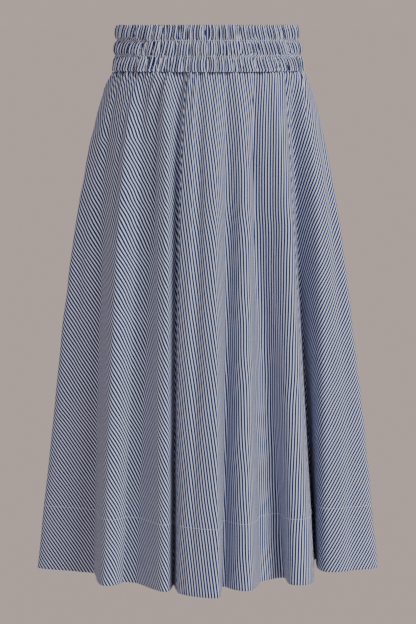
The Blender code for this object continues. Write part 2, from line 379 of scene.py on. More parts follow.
@dataclass
class Drape:
    """How the cloth hangs: the fold lines from waist to hem, and the rings between them."""

    turns: tuple[Turn, ...]
    hip_push: float = 22.0
    seat_push: float = 10.0
    valley_sink: float = 5.0
    swell_power: float = 0.6
    swing_power: float = 0.65
    _states: dict[float, list[tuple[Plan, Plan]]] = field(default_factory=dict)

    def share_down(self, drop: float) -> float:
        """Gives how far down the panels a drop is, from 0 at the waist seam to 1 at the hem."""
        return max(0.0, (drop - BAND_HEIGHT) / (SKIRT_DROP - BAND_HEIGHT))

    def hip_offset(self, turn: Turn) -> float:
        """Gives how far the hips or the seat hold a fold line out, in millimetres."""
        if turn.form is Form.VALLEY:
            return -self.valley_sink
        if turn.form is Form.SEAM:
            return 0.0
        angle = math.radians(turn.waist_deg)
        behind = max(0.0, -math.cos(angle))
        return self.hip_push * math.sin(angle) ** 2 + self.seat_push * behind**2

    def waist_span(self, index: int) -> float:
        """Gives the mean distance along the waist seam from a turning line to its neighbours."""
        before = self.turns[index - 1].waist_deg
        after = self.turns[(index + 1) % len(self.turns)].waist_deg
        radius = (SEAM_HALF_WIDTH + SEAM_HALF_DEPTH) / 2
        return math.radians((after - before) % 360.0) * radius / 2

    def turn_state(self, index: int, share: float) -> tuple[Plan, Plan]:
        """Finds a turning line at one height.

        Args:
            index: The line's number round the skirt.
            share: How far down the panels, from 0 to 1.

        Returns:
            Its plan point and its tangent.
        """
        turn = self.turns[index]
        waist, waist_heading = on_ellipse(turn.waist_deg, SEAM_HALF_WIDTH, SEAM_HALF_DEPTH)
        angle = math.radians(turn.waist_deg)
        held = math.sin(math.pi * share**self.swell_power)
        out, slid = self.hip_offset(turn) * held, turn.drift * held
        sine, cosine = math.sin(angle), math.cos(angle)
        x = waist[0] + (turn.hem_x - waist[0]) * share + out * sine + slid * cosine
        y = waist[1] + (turn.hem_y - waist[1]) * share - out * cosine + slid * sine
        swing = (turn.heading - waist_heading + 180.0) % 360.0 - 180.0
        heading = math.radians(waist_heading + swing * share**self.swing_power)
        span = self.waist_span(index)
        length = span + (turn.breadth - span) * share
        return (x, y), (length * math.cos(heading), length * math.sin(heading))

    def states(self, drop: float) -> list[tuple[Plan, Plan]]:
        """Gives the state of every turning line at a drop, worked out once."""
        if drop not in self._states:
            share = self.share_down(drop)
            self._states[drop] = [self.turn_state(i, share) for i in range(len(self.turns))]
        return self._states[drop]

    def place(self, index: int, part: float, drop: float) -> tuple[float, float, float, float]:
        """Finds a point of the ring between two turning lines.

        Args:
            index: The number of the line before it.
            part: How far it is towards the next line, from 0 to 1.
            drop: The ring's drop.

        Returns:
            x, y and the outward normal's two numbers.
        """
        states = self.states(drop)
        (p, t), (q, u) = states[index], states[(index + 1) % len(states)]
        square, cube = part**2, part**3
        a, b = 2 * cube - 3 * square + 1, cube - 2 * square + part
        c, d = 3 * square - 2 * cube, cube - square
        e, f = 6 * square - 6 * part, 3 * square - 4 * part + 1
        g, h = 6 * part - 6 * square, 3 * square - 2 * part
        x = a * p[0] + b * t[0] + c * q[0] + d * u[0]
        y = a * p[1] + b * t[1] + c * q[1] + d * u[1]
        run_x = e * p[0] + f * t[0] + g * q[0] + h * u[0]
        run_y = e * p[1] + f * t[1] + g * q[1] + h * u[1]
        length = math.hypot(run_x, run_y)
        return x, y, run_y / length, -run_x / length


@dataclass
class UnevenRow:
    """A row of small folds side by side, each with its own width and height."""

    count: int
    height: float
    seed: int
    widths: tuple[float, float] = (0.5, 1.6)
    heights: tuple[float, float] = (0.45, 1.25)
    bounds: list[float] = field(default_factory=list)
    tall: list[float] = field(default_factory=list)

    def __post_init__(self) -> None:
        """Chooses each fold's width and height, the same on every run."""
        chance = random.Random(self.seed)
        widths = [chance.uniform(*self.widths) for _ in range(self.count)]
        total, edge = sum(widths), 0.0
        for width in widths:
            self.bounds.append(edge / total)
            edge += width
            share = width / (total / self.count)
            self.tall.append(self.height * chance.uniform(*self.heights) * share**0.5)
        self.bounds.append(1.0)

    def find(self, share: float) -> tuple[int, float]:
        """Finds the fold at a share of the row.

        Args:
            share: The place along the row, from 0 to 1.

        Returns:
            The fold's number and the part of its width that is passed.
        """
        number = min(self.count - 1, max(0, bisect.bisect_right(self.bounds, share) - 1))
        low, high = self.bounds[number], self.bounds[number + 1]
        return number, min(1.0, max(0.0, (share - low) / (high - low)))


@dataclass
class GatherLine(UnevenRow):
    """The short gathers just under the waist seam of one panel, uneven in length too."""

    reach: float = 15.0
    long_reach: float = 56.0
    long_share: float = 0.5
    uneven_reach: tuple[float, float] = (0.6, 1.3)
    faded: float = 4.0
    lean: float = 0.02
    sway: float = 9.0
    sunk_share: float = 0.42
    tucked: float = 3.0
    tucked_reach: float = 3.0
    fades: list[float] = field(default_factory=list)

    def __post_init__(self) -> None:
        """Chooses how far down the cloth each gather reaches."""
        super().__post_init__()
        chance = random.Random(self.seed + 500)
        for _ in range(self.count):
            reach = self.long_reach if chance.random() < self.long_share else self.reach
            self.fades.append(reach * chance.uniform(*self.uneven_reach))

    def lift(self, across: float, drop: float) -> float:
        """Gives how far the gathers lift the cloth outwards at a place, in millimetres."""
        below = drop - BAND_HEIGHT
        if below > self.faded * self.long_reach:
            return 0.0
        aside = self.lean * math.sin(self.sway * across) * below / self.long_reach
        number, part = self.find(across + aside)
        crest = math.sin(math.pi * part) ** 2
        sunk = self.sunk_share * self.height * math.exp(-below / self.reach)
        sunk += self.tucked * math.exp(-below / self.tucked_reach)
        return self.tall[number] * crest * math.exp(-below / self.fades[number]) - sunk


@dataclass
class SoftWaves:
    """The slight unevenness that hanging cotton always has, as a few long crossing waves."""

    height: float = 0.22
    seed: int = 5
    count: int = 6
    across: tuple[float, float] = (34.0, 120.0)
    down: tuple[float, float] = (90.0, 420.0)
    phases: tuple[float, float] = (0.0, 6.3)
    shares: tuple[float, float] = (0.5, 1.0)
    flat_depth: float = 120.0
    _waves: list[tuple[float, float, float, float]] = field(default_factory=list)

    def __post_init__(self) -> None:
        """Chooses the waves once."""
        chance = random.Random(self.seed)
        bounds = (self.across, self.down, self.phases, self.shares)
        for _ in range(self.count):
            self._waves.append(tuple(chance.uniform(*pair) for pair in bounds))

    def lift(self, along: float, drop: float) -> float:
        """Gives the waves' height at a distance along the ring and a drop, in millimetres."""
        total = 0.0
        for across, down, phase, share in self._waves:
            total += share * math.sin(2 * math.pi * (along / across + drop / down) + phase)
        return self.height * total * smooth((drop - BAND_HEIGHT) / self.flat_depth)


@dataclass(frozen=True)
class Cut:
    """The flat cut of a flared panel: a sector, with its stripes at the grain's angle."""

    top: float
    hem: float
    length: float
    grain: Grain

    @property
    def angle(self) -> float:
        """Gives the sector's angle, in radians."""
        return (self.hem - self.top) / self.length

    @property
    def radius(self) -> float:
        """Gives the radius of the sector's top edge."""
        return self.top / self.angle

    def flat(self, across: float, down: float) -> Plan:
        """Finds a place on the flat cloth.

        Args:
            across: The place across the panel, from 0 at its left seam to 1.
            down: The distance down from the waist seam.

        Returns:
            The distance across the stripes and the distance along them, in metres.
        """
        turned = (across - 0.5) * self.angle
        reach = self.radius + down
        x, y = reach * math.sin(turned), reach * math.cos(turned) - self.radius
        lean = math.radians(self.grain.value)
        over = x * math.cos(lean) - y * math.sin(lean)
        along = x * math.sin(lean) + y * math.cos(lean)
        return over * MM, along * MM

    def sheet_size(self, turned_up: float) -> tuple[tuple[float, float], float]:
        """Measures the cut with what is turned up.

        Args:
            turned_up: The depth of the hem, in millimetres.

        Returns:
            The width and length of the rectangle round it, and its area, in metres.
        """
        outer = self.radius + self.length + turned_up
        width = 2 * outer * math.sin(self.angle / 2)
        length = outer - self.radius * math.cos(self.angle / 2)
        area = self.angle / 2 * (outer**2 - self.radius**2)
        return (width * MM, length * MM), area * MM * MM


@dataclass(frozen=True)
class HemPath:
    """Where each row of a panel's sheet runs: down outside, round the fold and up inside."""

    fold_radius: float = 0.6
    fold_steps: int = 4
    inside_step: float = 8.0
    tuck: float = 1.0
    fine_step: float = 1.5
    coarse_step: float = 7.4
    fine_depth: float = 130.0
    past_stitches: float = 3.0

    def rows(self) -> list[tuple[float, float, float]]:
        """Lists the rows as (drop, inset from the outside, distance down the cloth)."""
        top = BAND_HEIGHT + SEAM_GAP
        rows = [(top, self.tuck, -self.tuck)]
        drop = top
        while drop < SKIRT_DROP - self.fold_radius:
            rows.append((drop, 0.0, drop - top))
            grown = smooth((drop - top) / self.fine_depth)
            drop += self.fine_step + (self.coarse_step - self.fine_step) * grown
        bottom = SKIRT_DROP - self.fold_radius
        rows.append((bottom, 0.0, bottom - top))
        for step in range(1, self.fold_steps + 1):
            turned = math.pi * step / self.fold_steps
            inset = self.fold_radius * (1 - math.cos(turned))
            run = bottom - top + self.fold_radius * turned
            rows.append((bottom + self.fold_radius * math.sin(turned), inset, run))
        inside = 2 * self.fold_radius
        count = round((bottom - HEM_STITCH_DROP + self.past_stitches) / self.inside_step)
        for step in range(1, count + 1):
            up = self.inside_step * step
            rows.append((bottom - up, inside, bottom - top + math.pi * self.fold_radius + up))
        return rows


@dataclass
class Panel:
    """One flared panel: a sheet of striped poplin, hung, gathered and hemmed."""

    node: str
    turns: tuple[Turn, ...]
    drape: Drape
    cut: Cut
    gathers: GatherLine
    creases: tuple[Crease, ...]
    waves: SoftWaves = field(default_factory=SoftWaves)
    path: HemPath = HemPath()
    cloth: float = 0.45
    column_step: float = 2.6
    fewest_columns: int = 21
    seam_roll: float = 0.9
    seam_roll_width: float = 1.6
    allowance: float = 5.0
    seam_steps: tuple[float, float] = (0.25, 0.55)
    easings: int = 3
    eased_from: int = 4
    crease_outward: float = 0.65
    crease_reach: float = 3.0
    crease_ends: float = 0.8
    seam_calm: float = 6.0
    wave_calm: float = 20.0
    wave_offset: float = 97.0
    stitch_margin: float = 2.0

    @property
    def first(self) -> int:
        """Gives the number of the panel's left seam round the skirt."""
        return self.drape.turns.index(self.turns[0])

    def columns(self) -> list[tuple[int, float]]:
        """Lists the columns as (line before, part), closer together beside the two seams."""
        columns = []
        hem = self.drape.states(SKIRT_DROP)
        last = self.first + len(self.turns) - 1
        for index in range(self.first, last + 1):
            span = math.dist(hem[index][0], hem[(index + 1) % len(hem)][0])
            count = max(self.fewest_columns, round(span / self.column_step))
            steps = [float(step) for step in range(count)]
            if index == self.first:
                steps[1:1] = self.seam_steps
            if index == last:
                steps += [count - step for step in (*reversed(self.seam_steps), 0.0)]
            columns += [(index, step / count) for step in steps]
        return columns

    def crease_lift(self, across: float, drop: float, width: float) -> float:
        """Adds up the creases at a place.

        Args:
            across: The place across the panel, from 0 to 1.
            drop: The drop.
            width: The ring's length across the panel, in millimetres.

        Returns:
            How far they lift the cloth outwards, in millimetres.
        """
        total = 0.0
        for crease in self.creases:
            if not crease.start < drop < crease.end:
                continue
            part = (drop - crease.start) / (crease.end - crease.start)
            centre = crease.top + (crease.bottom - crease.top) * part
            off = (across - centre) * width / crease.width
            if abs(off) < self.crease_reach:
                eased = math.sin(math.pi * part) ** self.crease_ends
                total += crease.height * eased * math.exp(-off * off)
        return total

    def ring(self, drop: float, columns: list[tuple[int, float]]) -> list[Place]:
        """Hangs one row of the sheet.

        Args:
            drop: The row's drop.
            columns: The columns, as (line before, part).

        Returns:
            The row's places from seam to seam, on the outside of the cloth.
        """
        plain = [self.drape.place(index, part, drop) for index, part in columns]
        along = [0.0]
        for a, b in zip(plain, plain[1:]):
            along.append(along[-1] + math.hypot(b[0] - a[0], b[1] - a[1]))
        width = along[-1]
        spots: list[Plan] = []
        for (x, y, nx, ny), run in zip(plain, along):
            aside = min(run, width - run)
            lift = self.gathers.lift(run / width, drop)
            waved = self.waves.lift(run + self.wave_offset * self.first, drop)
            lift += waved * smooth(aside / self.wave_calm)
            lift -= self.seam_roll * math.exp(-((aside / self.seam_roll_width) ** 2))
            pressed = self.crease_lift(run / width, drop, width)
            pressed *= smooth(aside / self.seam_calm)
            reach = math.hypot(x, y)
            ox = nx + (x / reach - nx) * self.crease_outward
            oy = ny + (y / reach - ny) * self.crease_outward
            slid = 0.0
            if run == 0.0:
                slid = SEAM_GAP / 2
            elif run == width:
                slid = -SEAM_GAP / 2
            spots.append((
                x - ny * slid + nx * lift + ox * pressed,
                y + nx * slid + ny * lift + oy * pressed,
            ))
        ring: list[Place] = []
        for (x, y), (_, _, nx, ny) in zip(self.eased(spots), plain):
            walked = ring[-1].along + math.dist((x, y), ring[-1][:2]) if ring else 0.0
            ring.append(Place(x, y, nx, ny, walked))
        return ring

    def eased(self, spots: list[Plan]) -> list[Plan]:
        """Eases a ring's tightest bends, away from its seams.

        Args:
            spots: The ring's plan points.

        Returns:
            The eased points.
        """
        keep = self.eased_from
        for _ in range(self.easings):
            inner = [
                ((a[0] + 2 * b[0] + c[0]) / 4, (a[1] + 2 * b[1] + c[1]) / 4)
                for a, b, c in zip(spots[keep - 1 :], spots[keep:-keep], spots[keep + 1 :])
            ]
            spots = spots[:keep] + inner + spots[-keep:]
        return spots

    def sheet(self) -> bpy.types.Object:
        """Builds the panel's sheet as one object, with the cut's flat places as its UV map."""
        columns = self.columns()
        rows, flats = [], []
        for drop, inset, down in self.path.rows():
            ring = self.ring(drop, columns)
            width = ring[-1].along
            z = ORIGIN_DROP - drop
            row = [self._corner(ring[0], inset, z)]
            row += [(p.x - p.nx * inset, p.y - p.ny * inset, z) for p in ring]
            rows.append([*row, self._corner(ring[-1], inset, z)])
            turned = self.allowance / width
            across = (-turned, *(p.along / width for p in ring), 1 + turned)
            flats.append([self.cut.flat(share, down) for share in across])
        piece = woven(f"{self.node}_cloth", rows, flats)
        select_only(piece)
        wall = piece.modifiers.new("cloth", "SOLIDIFY")
        wall.thickness = self.cloth * MM
        wall.offset = -1.0
        bpy.ops.object.modifier_apply(modifier=wall.name)
        return piece

    def _corner(self, seam: Place, inset: float, z: float) -> Point:
        """Finds the raw edge of the seam allowance, turned in square to the cloth."""
        depth = inset + self.allowance
        return seam.x - seam.nx * depth, seam.y - seam.ny * depth, z

    def stitch_places(self, drop: float, pitch: float) -> list[Stitch]:
        """Places the stitches of the row at a drop, this far apart in millimetres."""
        line = [(p.x, p.y, ORIGIN_DROP - drop) for p in self.ring(drop, self.columns())]
        return walk_row(line, pitch, self.stitch_margin)


def walk_row(line: list[Point], pitch: float, margin: float) -> list[Stitch]:
    """Spaces stitches evenly along a line of points.

    Args:
        line: The points, in millimetres.
        pitch: The distance from one stitch to the next.
        margin: What is left free at both ends.

    Returns:
        The stitches.
    """
    places, travelled, due = [], 0.0, margin + pitch / 2
    points = [Vector(p) for p in line]
    total = sum((b - a).length for a, b in zip(points, points[1:]))
    for a, b in zip(points, points[1:]):
        step = (b - a).length
        while step > 0 and due <= travelled + step and due < total - margin:
            middle = a.lerp(b, (due - travelled) / step)
            heading = (b - a).normalized()
            places.append((middle * MM, heading, heading.cross(Vector((0, 0, 1))).normalized()))
            due += pitch
        travelled += step
    return places


@dataclass
class Thread:
    """The sewing thread: one stitch modelled as a short tapered twist and set along the rows."""

    radius: float = 0.32
    length: float = 2.5
    pitch: float = 3.1
    sides: int = 6
    body_share: float = 0.62
    tip_share: float = 0.35
    lift: float = 0.26
    end_sag: float = 0.5

    def stitch(self) -> tuple[list[Vector], list[tuple[int, ...]]]:
        """Models one stitch along X and returns its vertices and faces, in metres."""
        deselect_all()
        body = self.length * self.body_share
        bpy.ops.mesh.primitive_cylinder_add(
            vertices=self.sides, radius=self.radius * MM, depth=body * MM, location=(0, 0, 0)
        )
        piece = bpy.context.active_object
        for end in (1, -1):
            bpy.ops.object.mode_set(mode="EDIT")
            bpy.ops.mesh.select_mode(type="FACE")
            bpy.ops.mesh.select_all(action="DESELECT")
            bpy.ops.object.mode_set(mode="OBJECT")
            for face in piece.data.polygons:
                face.select = face.normal.z * end > FACING
            bpy.ops.object.mode_set(mode="EDIT")
            reach = (self.length - body) / 2 * MM * end
            bpy.ops.mesh.extrude_region_move(TRANSFORM_OT_translate={"value": (0, 0, reach)})
            bpy.ops.transform.resize(value=(self.tip_share, self.tip_share, 1.0))
            bpy.ops.object.mode_set(mode="OBJECT")
        turn = Matrix.Rotation(math.radians(90), 4, "Y")
        verts = [turn @ v.co for v in piece.data.vertices]
        faces = [tuple(face.vertices) for face in piece.data.polygons]
        bpy.data.objects.remove(piece, do_unlink=True)
        return verts, faces

    def sew(self, name: str, places: Iterable[Stitch]) -> bpy.types.Object:
        """Sets a copy of the stitch at every place.

        Args:
            name: The piece's name.
            places: Where the stitches go.

        Returns:
            One object that holds the row.
        """
        verts, faces = self.stitch()
        points, polygons = [], []
        for middle, heading, normal in places:
            base = len(points)
            side = normal.cross(heading)
            for v in verts:
                sag = 1.0 - self.end_sag * abs(v.x) / (self.length * MM / 2)
                out = v.z + self.lift * MM * sag
                points.append(middle + heading * v.x + side * v.y + normal * out)
            polygons += [tuple(base + i for i in face) for face in faces]
        data = bpy.data.meshes.new(name)
        data.from_pydata(points, [], polygons)
        data.shade_smooth()
        return linked(name, data)


@dataclass
class PuckerRow(UnevenRow):
    """The puckers of one elastic channel: uneven ridges with sharp valleys between them."""

    widths: tuple[float, float] = (0.4, 1.9)
    heights: tuple[float, float] = (0.3, 1.5)
    sharpness: float = 0.95
    skew: float = 0.45
    skew_rhythm: float = 2.4

    def at(self, around: float) -> float:
        """Gives the puckers' height at a share of the way round, in millimetres."""
        number, part = self.find(around % 1.0)
        fallen = part ** (1 + self.skew * math.sin(self.skew_rhythm * number + self.seed))
        return self.tall[number] * math.sin(math.pi * fallen) ** self.sharpness


@dataclass
class Waistband:
    """The gathered band: one strip folded over, stitched into three elastic channels."""

    node: str = "waistband"
    columns: int = 1440
    channel_rows: int = 9
    inside_rows: int = 12
    edge_drops: tuple[float, ...] = (0.0, 0.35, 1.0)
    inner_edge_drops: tuple[float, ...] = (1.0, 0.3)
    edge_radius: float = 0.9
    bottom_edge: float = 0.5
    shortest_step: float = 0.5
    bulge: float = 0.15
    roundness: float = 0.7
    sink: float = 3.9
    groove: float = 0.2
    groove_width: float = 1.2
    stitched_share: float = 0.6
    mix_share: float = 0.16
    lean: float = 0.0105
    bow: float = 0.0016
    bow_turns: float = 5.5
    held_share: float = 0.12
    inside_share: float = 0.3
    inside_shift: float = 0.004
    inside_level: float = 1.0
    bottom_share: float = 0.25
    bottom_fullness: float = 0.9
    bridged: int = 4
    repeats: int = 262
    pucker_count: int = 92
    pucker_height: float = 5.6
    seeds: tuple[int, ...] = (3, 74, 145)
    puckers: list[PuckerRow] = field(init=False)

    def __post_init__(self) -> None:
        """Chooses the puckers of each channel."""
        count, height = self.pucker_count, self.pucker_height
        self.puckers = [PuckerRow(count, height, seed) for seed in self.seeds]

    def half_width(self, drop: float) -> float:
        """Gives the half width of the band's plain ellipse at a drop."""
        row = self.channel_at(drop)
        part = drop / CHANNEL_HEIGHT - row
        upper, lower = BAND_ROW_HALF_WIDTHS[row : row + 2]
        return upper + (lower - upper) * part

    def blend(self, drop: float) -> list[tuple[int, float]]:
        """Lists the channels whose puckers act at a drop, as (channel, share)."""
        row = self.channel_at(drop)
        part = drop / CHANNEL_HEIGHT - row
        if part < self.mix_share and row > 0:
            other = 0.5 * (1 - smooth(part / self.mix_share))
            return [(row, 1 - other), (row - 1, other)]
        if part > 1 - self.mix_share and row < CHANNELS - 1:
            other = 0.5 * (1 - smooth((1 - part) / self.mix_share))
            return [(row, 1 - other), (row + 1, other)]
        return [(row, 1.0)]

    def fullness(self, drop: float) -> float:
        """Gives how full a channel is at a drop, from 0 at a stitched row to 1."""
        if drop > BAND_HEIGHT - CHANNEL_HEIGHT * self.bottom_share:
            return self.bottom_fullness
        part = (drop / CHANNEL_HEIGHT) % 1.0
        return math.sin(math.pi * part) ** self.roundness if drop > 0.0 else 0.0

    def slant(self, around: float, drop: float) -> float:
        """Gives how far the puckers lean aside at a drop, as a share of the way round.

        Args:
            around: The share of the way round from the front, towards +X.
            drop: The drop.

        Returns:
            The shift of the cloth, which is nothing at the stitched rows.
        """
        part = min(1.0, max(0.0, drop / CHANNEL_HEIGHT - self.channel_at(drop)))
        held = smooth(part / self.held_share) * smooth((1 - part) / self.held_share)
        aside = math.sin(2 * math.pi * around)
        swayed = math.cos(2 * self.bow_turns * math.pi * around)
        bowed = self.bow * math.sin(math.pi * part) * swayed
        return held * (self.lean * (part - 0.5) * aside + bowed)

    def channel_at(self, drop: float) -> int:
        """Gives the number of the channel at a drop."""
        return max(0, min(CHANNELS - 1, int(drop / CHANNEL_HEIGHT)))

    def pucker_lift(self, around: float, drop: float) -> float:
        """Gives the puckers' height at a place, in millimetres."""
        acting = self.blend(drop)
        tall = sum(share * self.puckers[channel].at(around) for channel, share in acting)
        kept = self.stitched_share + (1 - self.stitched_share) * self.fullness(drop)
        return tall * kept

    def outside(self, around: float, drop: float) -> Plan:
        """Finds a point of the band's outside in plan."""
        row_gap = min(abs(drop - row * CHANNEL_HEIGHT) for row in range(1, CHANNELS))
        reach = self.half_width(drop) + self.bulge * self.fullness(drop) - self.sink
        reach += self.pucker_lift(around, drop)
        reach -= self.groove * math.exp(-((row_gap / self.groove_width) ** 2))
        turned = 360.0 * (around + self.slant(around, drop))
        return on_ellipse(turned, reach, reach * BAND_DEPTH_SHARE)[0]

    def inside(self, around: float, drop: float) -> Plan:
        """Finds a point of the band's inside in plan."""
        reach = self.half_width(drop) - BAND_WALL
        lifted = self.pucker_lift(around + self.inside_shift, drop)
        reach -= self.inside_share * (lifted - self.inside_level)
        return on_ellipse(360.0 * around, reach, reach * BAND_DEPTH_SHARE)[0]

    def rows(self) -> list[tuple[float, bool]]:
        """Lists the rows of the closed tube as (drop, outside), down outside and up inside."""
        steps = self.channel_rows * CHANNELS
        gap = CHANNEL_HEIGHT / self.channel_rows
        rows = [(drop, True) for drop in self.edge_drops]
        rows += [(gap * step, True) for step in range(1, steps)]
        rows += [(BAND_HEIGHT - self.bottom_edge, True), (BAND_HEIGHT, True), (BAND_HEIGHT, False)]
        inner_gap = BAND_HEIGHT / self.inside_rows
        rows += [(BAND_HEIGHT - inner_gap * step, False) for step in range(1, self.inside_rows)]
        return rows + [(drop, False) for drop in self.inner_edge_drops]

    def edge_inset(self, drop: float) -> float:
        """Gives how far the rounded top edge draws the cloth in at a drop, in millimetres."""
        if drop >= self.edge_radius:
            return 0.0
        above = (self.edge_radius - drop) ** 2
        return self.edge_radius - math.sqrt(max(0.0, self.edge_radius**2 - above))

    def flat_places(self) -> list[list[float]]:
        """Measures the cloth round each channel, as a running share of the strip's length."""
        shares = []
        for channel in range(CHANNELS):
            drop = (channel + 0.5) * CHANNEL_HEIGHT
            points = [self.outside(c / self.columns, drop) for c in range(self.columns + 1)]
            run = [0.0]
            for a, b in zip(points, points[1:]):
                run.append(run[-1] + math.dist(a, b))
            shares.append([r / run[-1] for r in run])
        return shares

    def sheet(self) -> bpy.types.Object:
        """Builds the band as one closed tube of cloth."""
        listed = self.rows()
        flat = self.flat_places()
        length = self.repeats * STRIPE_PITCH * MM
        rows, flats, travelled = [], [], 0.0
        for line, (drop, outer) in enumerate(listed):
            if line:
                travelled += max(abs(drop - listed[line - 1][0]), self.shortest_step)
            edge = self.edge_inset(drop)
            shrink = 1 - edge / SEAM_HALF_WIDTH * (1 if outer else -1)
            row = []
            for column in range(self.columns):
                around = column / self.columns
                x, y = self.outside(around, drop) if outer else self.inside(around, drop)
                row.append((x * shrink, y * shrink, ORIGIN_DROP - drop))
            rows.append(row)
            mixed = self.blend(drop)
            flats.append([
                (sum(share * flat[channel][c] for channel, share in mixed) * length, travelled * MM)
                for c in range(self.columns + 1)
            ])
        return woven("waistband_cloth", rows, flats, closed=True)

    def stitch_places(self, row: int, pitch: float) -> list[Stitch]:
        """Places the stitches of a row between two channels, drawn straight over the puckers.

        Args:
            row: The row's number, from 1 at the top.
            pitch: The distance from one stitch to the next, in millimetres.

        Returns:
            The stitches.
        """
        drop = row * CHANNEL_HEIGHT
        half = self.half_width(drop)
        plain, raised = [], []
        for column in range(self.columns):
            x, y = on_ellipse(360.0 * column / self.columns, half, half * BAND_DEPTH_SHARE)[0]
            plain.append((x, y))
            raised.append(math.hypot(*self.outside(column / self.columns, drop)) / math.hypot(x, y))
        line = []
        near = range(-self.bridged, self.bridged + 1)
        for column in range(self.columns + 1):
            held = max(raised[(column + step) % self.columns] for step in near)
            x, y = plain[column % self.columns]
            line.append((x * held, y * held, ORIGIN_DROP - drop))
        return walk_row(line, pitch, 0.0)


@dataclass(frozen=True)
class StripedPoplin:
    """Yarn-dyed cotton poplin with even navy and white stripes."""

    name: str
    navy: Colour = (0.008, 0.024, 0.100)
    white: Colour = (0.775, 0.812, 1.0)
    navy_reach: float = 0.286
    softness: float = 0.03
    yarn: float = 0.00026
    warp_turn: float = 6.2832
    weft_turn: float = 4.9
    # Painted shade: how much darker the weave's low places, where its relief is lowest, are
    # painted.
    weave_painted_shade: float = 0.04
    slub_scale: float = 900.0
    frayed: float = 0.04
    tone_scale: float = 60.0
    tone_spread: float = 0.06
    roughness: float = 0.82
    sheen: float = 0.08
    gloss: float = 0.25
    relief: float = 0.25
    relief_depth: float = 0.00006

    def stripe_group(self) -> bpy.types.NodeTree:
        """Builds the weave once: stripes, yarns and their relief from the cut's flat places, with
        painted shade where the weave's relief is low.
        """
        found = bpy.data.node_groups.get("striped_poplin_weave")
        if found:
            return found
        tree = bpy.data.node_groups.new("striped_poplin_weave", "ShaderNodeTree")
        face = tree.interface
        face.new_socket("Cut", in_out="INPUT", socket_type="NodeSocketVector")
        sizes = (("Pitch", STRIPE_PITCH * MM), ("Yarn", self.yarn), ("Softness", self.softness))
        for name, value in sizes:
            given = face.new_socket(name, in_out="INPUT", socket_type="NodeSocketFloat")
            given.default_value = value
        for name, way in (("Navy", "INPUT"), ("White", "INPUT"), ("Color", "OUTPUT")):
            face.new_socket(name, in_out=way, socket_type="NodeSocketColor")
        face.new_socket("Height", in_out="OUTPUT", socket_type="NodeSocketFloat")
        nodes, links = tree.nodes, tree.links
        given, put = nodes.new("NodeGroupInput"), nodes.new("NodeGroupOutput")

        def math_node(
            operation: str, *values: bpy.types.NodeSocket | float
        ) -> bpy.types.NodeSocket:
            """Adds a Math node; a number is set on its socket and a socket is linked."""
            node = nodes.new("ShaderNodeMath")
            node.operation = operation
            for slot, value in enumerate(values):
                if isinstance(value, (int, float)):
                    node.inputs[slot].default_value = value
                else:
                    links.new(value, node.inputs[slot])
            return node.outputs[0]

        def noise(scale: float, detail: float) -> bpy.types.NodeSocket:
            """Adds a Noise node over the flat cloth and gives its factor."""
            node = nodes.new("ShaderNodeTexNoise")
            node.inputs["Scale"].default_value = scale
            node.inputs["Detail"].default_value = detail
            links.new(given.outputs["Cut"], node.inputs["Vector"])
            return node.outputs["Fac"]

        split = nodes.new("ShaderNodeSeparateXYZ")
        links.new(given.outputs["Cut"], split.inputs[0])
        across, along = split.outputs["X"], split.outputs["Y"]
        slub = noise(self.slub_scale, 1.0)
        frayed = math_node("MULTIPLY_ADD", slub, self.frayed, -self.frayed / 2)
        turns = math_node("DIVIDE", across, given.outputs["Pitch"])
        place = math_node("FRACT", math_node("ADD", turns, frayed))
        aside = math_node("ABSOLUTE", math_node("SUBTRACT", place, 0.5))
        half_soft = math_node("MULTIPLY", given.outputs["Softness"], 0.5)
        edge = nodes.new("ShaderNodeMapRange")
        edge.interpolation_type = "SMOOTHSTEP"
        links.new(aside, edge.inputs["Value"])
        links.new(math_node("SUBTRACT", self.navy_reach, half_soft), edge.inputs["From Min"])
        links.new(math_node("ADD", self.navy_reach, half_soft), edge.inputs["From Max"])
        warps = math_node("DIVIDE", across, given.outputs["Yarn"])
        wefts = math_node("DIVIDE", along, given.outputs["Yarn"])
        warp = math_node("SINE", math_node("MULTIPLY", warps, self.warp_turn))
        weft = math_node("SINE", math_node("MULTIPLY", wefts, self.weft_turn))
        weave = math_node("MULTIPLY", warp, weft)
        mottled = noise(self.tone_scale, 3.0)
        tone_and_weave_shade = math_node("MULTIPLY_ADD", mottled, self.tone_spread, 1 - self.tone_spread / 2)
        # Painted shade: the weave's low places are painted slightly darker; the mottling is the
        # cloth's own random tone.
        tone_and_weave_shade = math_node("ADD", tone_and_weave_shade, math_node("MULTIPLY", weave, self.weave_painted_shade))
        stripes = nodes.new("ShaderNodeMix")
        stripes.data_type = "RGBA"
        links.new(edge.outputs["Result"], stripes.inputs["Factor"])
        links.new(given.outputs["Navy"], stripes.inputs["A"])
        links.new(given.outputs["White"], stripes.inputs["B"])
        toned = nodes.new("ShaderNodeVectorMath")
        toned.operation = "SCALE"
        links.new(stripes.outputs["Result"], toned.inputs[0])
        links.new(tone_and_weave_shade, toned.inputs["Scale"])
        links.new(toned.outputs["Vector"], put.inputs["Color"])
        links.new(math_node("ADD", weave, slub), put.inputs["Height"])
        return tree

    def material(self) -> bpy.types.Material:
        """Makes the cloth's material."""
        made = plain_finish(self.name, {
            "Roughness": self.roughness,
            "Sheen Weight": self.sheen,
            "Specular IOR Level": self.gloss,
        })
        nodes, links = made.node_tree.nodes, made.node_tree.links
        places = nodes.new("ShaderNodeUVMap")
        places.uv_map = "cut"
        weave = nodes.new("ShaderNodeGroup")
        weave.node_tree = self.stripe_group()
        weave.inputs["Pitch"].default_value = STRIPE_PITCH * MM
        weave.inputs["Navy"].default_value = (*self.navy, 1.0)
        weave.inputs["White"].default_value = (*self.white, 1.0)
        links.new(places.outputs["UV"], weave.inputs["Cut"])
        links.new(weave.outputs["Color"], nodes["Principled BSDF"].inputs["Base Color"])
        add_relief(made, weave.outputs["Height"], self.relief, self.relief_depth)
        return made


